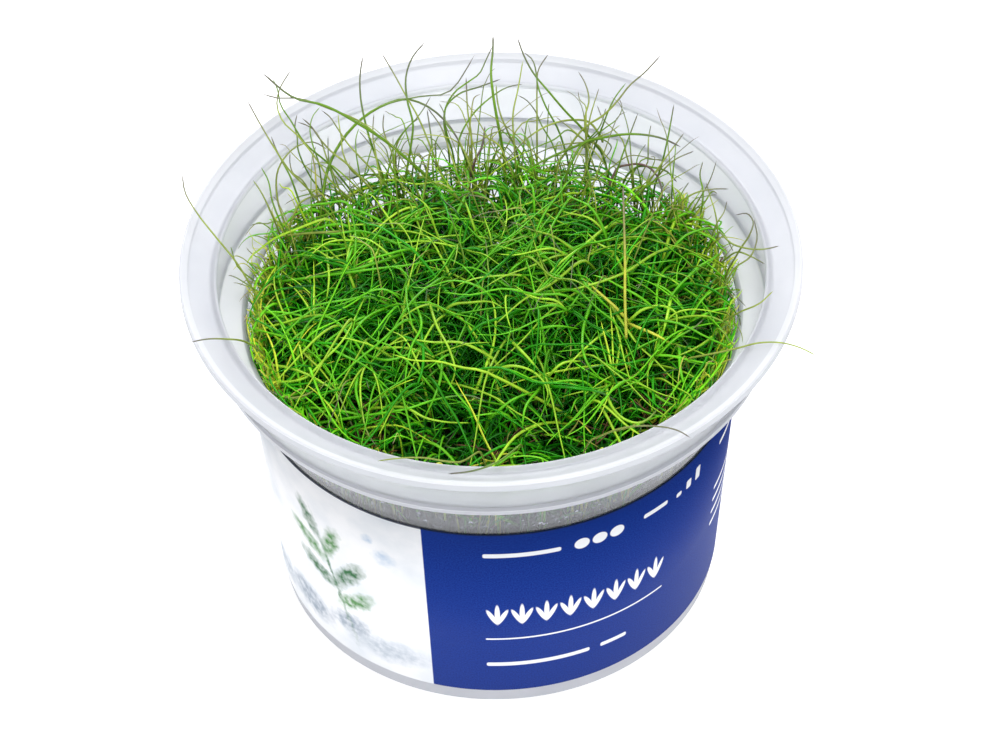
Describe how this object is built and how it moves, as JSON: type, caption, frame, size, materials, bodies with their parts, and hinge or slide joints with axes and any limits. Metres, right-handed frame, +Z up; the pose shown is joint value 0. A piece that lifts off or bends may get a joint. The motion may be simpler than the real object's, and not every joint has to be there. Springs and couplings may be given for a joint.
{
  "type": "tissue culture small spikerush",
  "caption": "Frosted see-through culture tub with a wide flange and a wrapped label, holding growing gel and a dense sward of thin arching green stems.",
  "frame": {"origin": "middle of the tub's flat underside, on the surface it stands on", "axes": "+Z up along the tub's axis, -Y towards the front, where the label's pale and dark panels meet, +X to the right seen from the front"},
  "size_m": [0.101, 0.1, 0.0765],
  "materials": {
    "frosted_polypropylene": "frosted, see-through",
    "printed_paper": "offset printed, satin varnish",
    "growing_gel": "wet, translucent",
    "spikerush_green": "smooth, slightly waxy plant stems"
  },
  "bodies": {
    "root": {"tub": "frosted_polypropylene", "label": "printed_paper", "gel": "growing_gel", "sward": "spikerush_green", "long_stem_01": "spikerush_green", "long_stem_02": "spikerush_green", "long_stem_03": "spikerush_green", "long_stem_04": "spikerush_green", "long_stem_05": "spikerush_green", "long_stem_06": "spikerush_green", "long_stem_07": "spikerush_green", "long_stem_08": "spikerush_green", "long_stem_09": "spikerush_green", "long_stem_10": "spikerush_green", "long_stem_11": "spikerush_green", "long_stem_12": "spikerush_green", "long_stem_13": "spikerush_green", "long_stem_14": "spikerush_green", "long_stem_15": "spikerush_green", "long_stem_16": "spikerush_green", "long_stem_17": "spikerush_green", "long_stem_18": "spikerush_green", "long_stem_19": "spikerush_green", "long_stem_20": "spikerush_green", "long_stem_21": "spikerush_green", "long_stem_22": "spikerush_green", "long_stem_23": "spikerush_green", "long_stem_24": "spikerush_green", "long_stem_25": "spikerush_green", "long_stem_26": "spikerush_green"}
  },
  "joints": []
}
